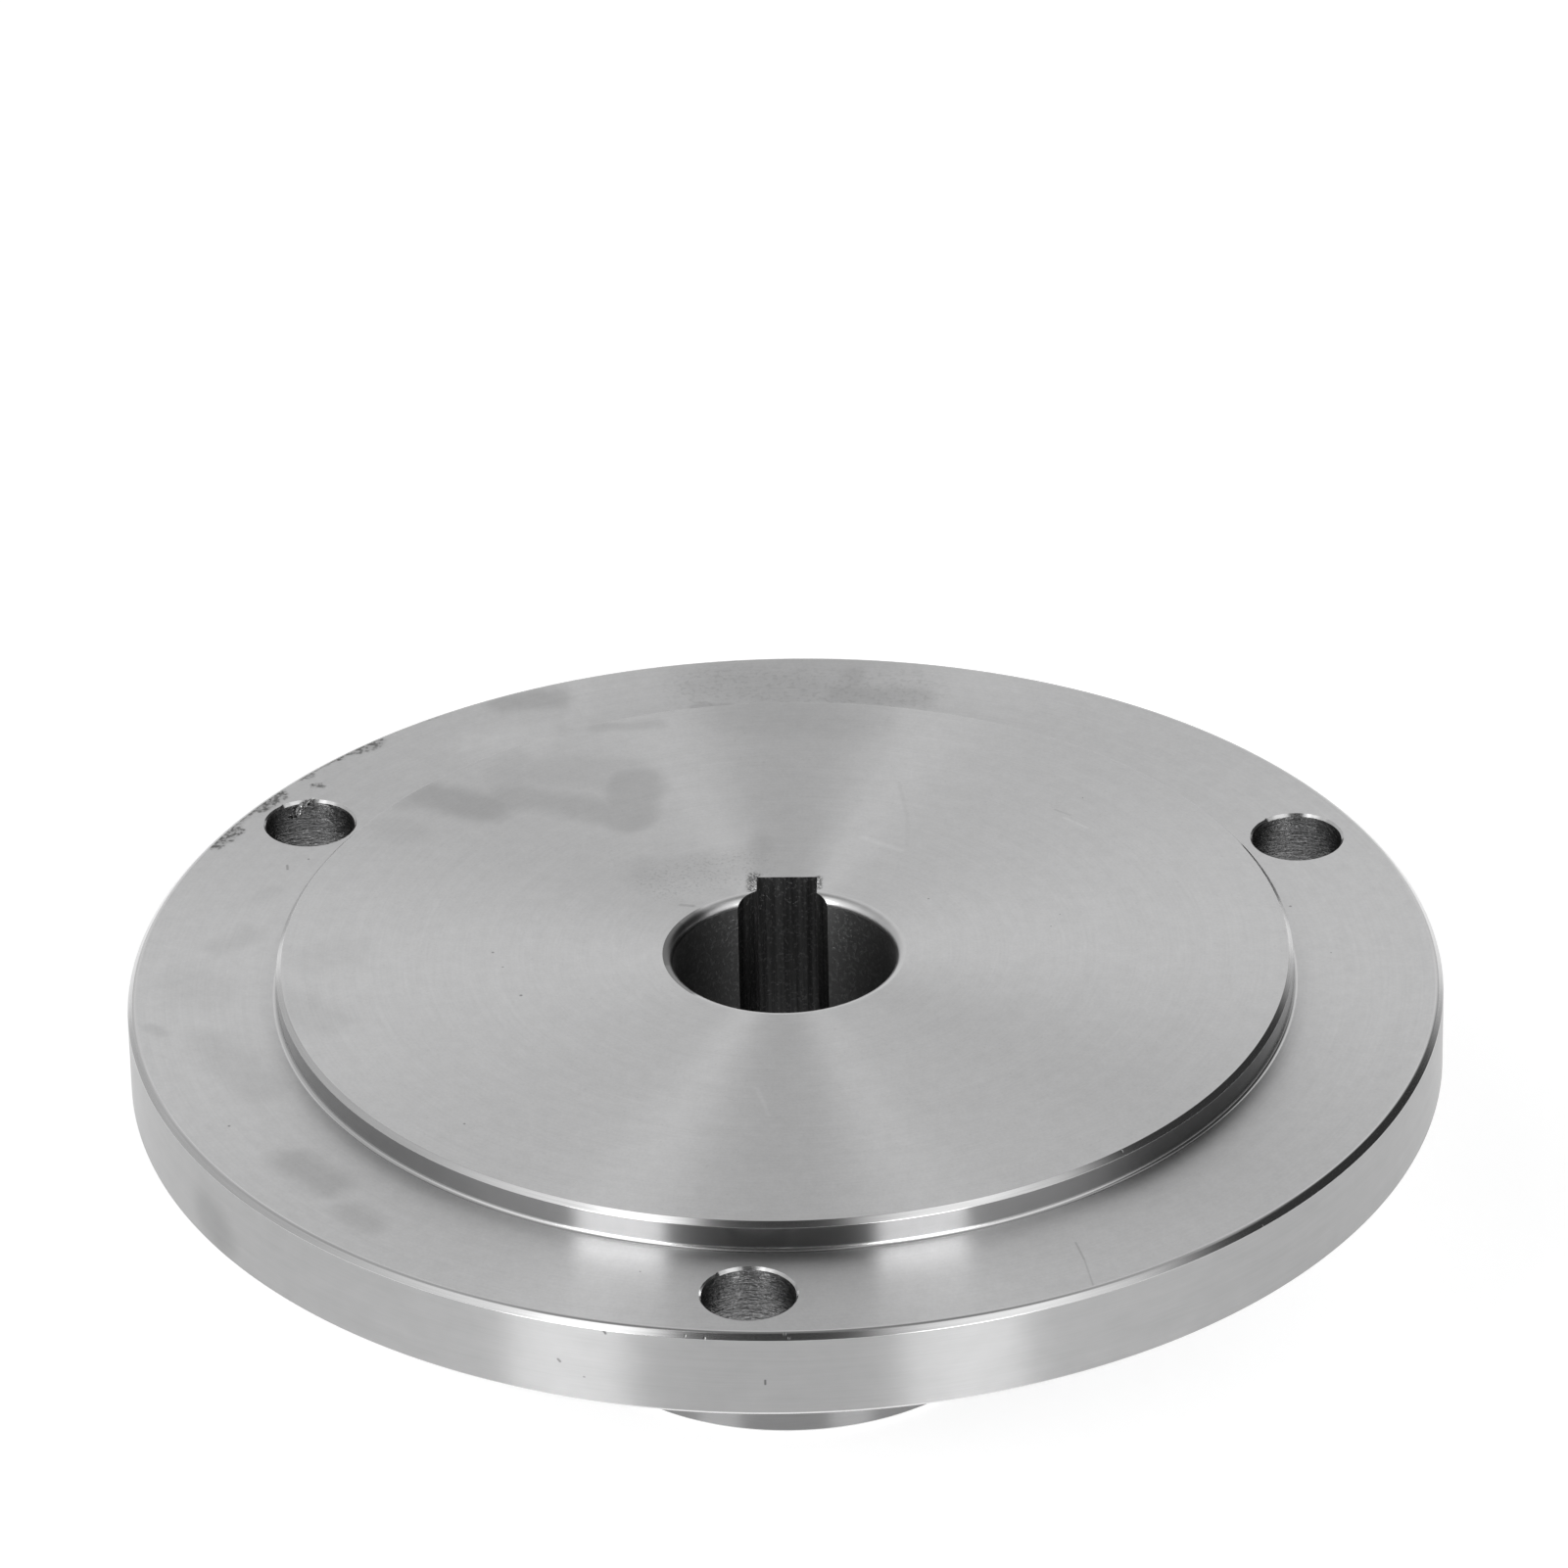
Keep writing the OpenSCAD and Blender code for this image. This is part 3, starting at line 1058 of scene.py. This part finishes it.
def drilled_steel(place, look):
    """Drilled walls, with the drill's torn, wavy marks round them and a few bright specks."""
    waves = place.swells((1.1, 1.1, 4.4), detail=2.0, distortion=0.3)
    torn = place.swells(4.2, detail=2.0, roughness=0.6)
    specks = place.speckle(pitch=0.3, full=0.68, none=0.56)
    colour = shaded(place, look.drilled, 0.6 * waves + 0.9 * torn + 0.5 * specks)
    height = WAVE_DEPTH * waves + TEAR_DEPTH * torn
    return metal(place, colour, look.drilled_gloss, height, anisotropy=0.85)


# The name and the surface of each finish's material, in the order of the plate's material slots
FINISHES = {
    "top": ("faced_top", top_steel),
    "shoulder": ("faced_shoulder", shoulder_steel),
    "back": ("faced_back", back_steel),
    "rim": ("turned_rim", rim_steel),
    "hub": ("turned_hub", hub_steel),
    "register": ("turned_register", register_steel),
    "edge": ("cut_edge", edge_steel),
    "mouth": ("polished_mouth", mouth_steel),
    "deburred": ("deburred_mouth", deburred_steel),
    "bore": ("bored_wall", bore_steel),
    "keyway": ("broached_keyway", keyway_steel),
    "torn": ("torn_steel", torn_steel),
    "drilled": ("drilled_wall", drilled_steel),
}


# Studio

# Direction of each lamp from the plate and its lean, in degrees
LAMPS = {"left_lamp": (-124.6, 5), "right_lamp": (-60.6, -5)}
AIM = Vector((0, 0, mount_height("chuck_face")))

# Soft patches of the room. Each has its strength, then in degrees the direction and height of its middle,
# and how far from there it is full and where it ends, first to the side and then up and down.
GLOWS = (
    (0.60, (-142.0, 38), (6, 50), (20, 44)),
    (0.50, (-39.0, 40), (8, 44), (20, 44)),
    (0.36, (92.0, 24), (14, 52), (14, 48)),
    (0.10, (158.0, 22), (12, 40), (6, 24)),
    (0.80, (-131.0, 58), (8, 15), (13, 20)),
    (0.30, (-44.0, 58), (9, 22), (13, 20)),
)
DARKS = (
    (0.91, (-92.4, 30), (20, 24), (44, 56)),
    (0.92, (22.0, 28), (22, 41), (16, 28)),
    (0.48, (0, 90), (180, 181), (14, 30)),
)
# The floor's radius in metres, and its sides
FLOOR_RADIUS = 6
FLOOR_SIDES = 96


def make_lamp(name, direction, lean, look):
    """A tall, soft, upright lamp. Its brightness is that of its face, as the steel mirrors it."""
    height = look.lamp_top - look.lamp_foot
    lamp = bpy.data.lights.new(name, "AREA")
    lamp.shape = "RECTANGLE"
    lamp.size = look.lamp_width
    lamp.size_y = height
    lamp.energy = look.lamp * math.pi * look.lamp_width * height
    piece = bpy.data.objects.new(name, lamp)
    piece.location = polar(look.lamp_distance, math.radians(direction), look.lamp_foot + height / 2)
    upright = Euler((math.radians(90), 0, math.radians(direction + 90))).to_matrix()
    piece.rotation_euler = (upright @ Matrix.Rotation(math.radians(lean), 3, "Z")).to_euler()
    piece.visible_camera = False
    bpy.context.scene.collection.objects.link(piece)


def seen(graph):
    """1 for the rays that show the background: the camera's, and those that metal and glass send on."""
    paths = graph.add("ShaderNodeLightPath")
    shown = graph.math("MAXIMUM", paths, paths.out("Is Glossy Ray"))
    return graph.math("MAXIMUM", shown, paths.out("Is Transmission Ray"))


def make_floor(look):
    """A plain pale floor that keeps the plate's shadow."""
    mesh = bmesh.new()
    bmesh.ops.create_circle(mesh, cap_ends=True, segments=FLOOR_SIDES, radius=FLOOR_RADIUS)
    material, graph = new_material("pale_floor")
    matt = graph.add("ShaderNodeBsdfDiffuse", None, {"Color": opaque(look.floor)})
    glow = seen(graph) * look.floor_lift
    lift = graph.add("ShaderNodeEmission", None, {"Color": WHITE, "Strength": glow})
    both = graph.add("ShaderNodeAddShader", None, {0: matt, 1: lift})
    graph.add("ShaderNodeOutputMaterial", None, {"Surface": both})
    make_object("floor", mesh, [material])


def make_room(scene, look):
    """The pale room: plain, with a soft glow beside each lamp and behind the plate, and two dark sides."""
    world = bpy.data.worlds.new("pale_room")
    world.use_nodes = True
    graph = Graph(world.node_tree)
    way = graph.add("ShaderNodeTexCoord")
    east = graph.add("ShaderNodeSeparateXYZ", None, {0: way})
    level = graph.vector("LENGTH", graph.vector("MULTIPLY", way, (1.0, 1.0, 0.0)), output=1)
    rise = graph.math("ARCTAN2", east.out("Z"), level) * math.degrees(1)
    turn = graph.math("ARCTAN2", east.out("Y"), east) * math.degrees(1)

    def patch(middle, across, along):
        """1 in the middle of a soft patch of the room, fading to 0 at its edges."""
        aside = graph.math("PINGPONG", turn - middle[0], 180.0)
        above = abs(rise - middle[1])
        return graph.ease(aside, *reversed(across)) * graph.ease(above, *reversed(along))

    bright = look.room
    for strength, *place in GLOWS:
        bright = bright + strength * patch(*place)
    for strength, *place in DARKS:
        bright = bright * (1 - strength * patch(*place))
    light = graph.add("ShaderNodeBackground", None, {"Color": WHITE, "Strength": bright})
    graph.add("ShaderNodeOutputWorld", None, {"Surface": light})
    scene.world = world
    scene.view_settings.view_transform = "Standard"


# The camera, worked out from the photograph of 1601 by 1601 pixels
FRAME_PIXELS = 1601
LENS_PIXELS = 10856.4
CENTRE_PIXEL = 800.0
AIM_PIXEL = (801.05, 997.23)
CAMERA_AZIMUTH = math.radians(-88.35)
CAMERA_ELEVATION = math.radians(31.044)
CAMERA_DISTANCE = 1.0467
CAMERA_ROLL = math.radians(-1.237)
SENSOR = 36.0


def make_camera(scene):
    """The camera at the photograph's viewing angle."""
    level = CAMERA_DISTANCE * math.cos(CAMERA_ELEVATION)
    place = AIM + polar(level, CAMERA_AZIMUTH, CAMERA_DISTANCE * math.sin(CAMERA_ELEVATION))
    across, down = [math.atan((pixel - CENTRE_PIXEL) / LENS_PIXELS) for pixel in AIM_PIXEL]
    turn = (AIM - place).to_track_quat("-Z", "Y")
    turn = turn @ Quaternion((0, 0, 1), CAMERA_ROLL)
    turn = turn @ Quaternion((1, 0, 0), down) @ Quaternion((0, 1, 0), across)
    camera = bpy.data.cameras.new("camera")
    camera.lens = LENS_PIXELS / FRAME_PIXELS * SENSOR
    camera.sensor_width = SENSOR
    camera.clip_end = 100
    piece = bpy.data.objects.new("camera", camera)
    piece.rotation_mode = "QUATERNION"
    piece.location = place
    piece.rotation_quaternion = turn
    scene.collection.objects.link(piece)
    scene.camera = piece


# Operators


def lay_plate(sizes):
    """Lays the whole plate, with the flat faces last."""
    skin = Skin()
    for lay in (lay_outside, lay_bore, lay_keyway, lay_bolt_holes):
        lay(skin, sizes)
    skin.weld()
    skin.fill(0, "back")
    skin.fill(sizes.underside, "back")
    skin.fill(sizes.shoulder, "shoulder")
    skin.fill(sizes.top, "top")
    return skin


class MakePlate(bpy.types.Operator):
    """Lay the turned plate and give it its finishes"""

    bl_idname = "adapter_plate.make_plate"
    bl_label = "Turned plate"

    def execute(self, context):
        look = context.scene.steel_look
        skin = lay_plate(context.scene.plate_sizes)
        materials = [steel(name, finish, look) for name, finish in FINISHES.values()]
        plate = skin.finish("turned_plate", materials)
        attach(plate, BODY)
        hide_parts(NODE)
        return {"FINISHED"}


class MakeCurl(bpy.types.Operator):
    """Hang the curl of swarf on the left hole's edge"""

    bl_idname = "adapter_plate.make_curl"
    bl_label = "Swarf curl"

    def execute(self, context):
        material = steel("swarf", swarf_steel, context.scene.steel_look)
        curl = make_object("swarf_curl", lay_curl(context.scene.plate_sizes), [material])
        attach(curl, BODY)
        return {"FINISHED"}


class MakeStudio(bpy.types.Operator):
    """Set the floor, the room, the lamps and the camera"""

    bl_idname = "adapter_plate.make_studio"
    bl_label = "Studio"

    def execute(self, context):
        look = context.scene.studio_look
        make_floor(look)
        make_room(context.scene, look)
        for name, (direction, lean) in LAMPS.items():
            make_lamp(name, direction, lean, look)
        make_camera(context.scene)
        return {"FINISHED"}


class PlatePanel(bpy.types.Panel):
    """The plate's sizes, finishes and studio, in the 3D view's sidebar"""

    bl_idname = "VIEW3D_PT_adapter_plate"
    bl_label = "Adapter plate"
    bl_space_type = "VIEW_3D"
    bl_region_type = "UI"
    bl_category = "Adapter plate"

    def draw(self, context):
        for settings in (context.scene.plate_sizes, context.scene.steel_look, context.scene.studio_look):
            box = self.layout.box()
            for name in type(settings).__annotations__:
                box.prop(settings, name)
        for operator in OPERATORS:
            self.layout.operator(operator.bl_idname)


OPERATORS = (MakePlate, MakeCurl, MakeStudio)
SETTINGS = {"plate_sizes": PlateSizes, "steel_look": SteelLook, "studio_look": StudioLook}


def register():
    """Registers the settings, the operators and the panel."""
    for name, settings in SETTINGS.items():
        bpy.utils.register_class(settings)
        setattr(bpy.types.Scene, name, PointerProperty(type=settings))
    for operator in OPERATORS:
        bpy.utils.register_class(operator)
    bpy.utils.register_class(PlatePanel)


def unregister():
    """Takes everything that register adds away again."""
    bpy.utils.unregister_class(PlatePanel)
    for operator in reversed(OPERATORS):
        bpy.utils.unregister_class(operator)
    for name, settings in SETTINGS.items():
        delattr(bpy.types.Scene, name)
        bpy.utils.unregister_class(settings)


def main():
    """Builds the plate and its studio."""
    register()
    bpy.ops.adapter_plate.make_plate()
    bpy.ops.adapter_plate.make_curl()
    bpy.ops.adapter_plate.make_studio()


if __name__ == "__main__":
    main()
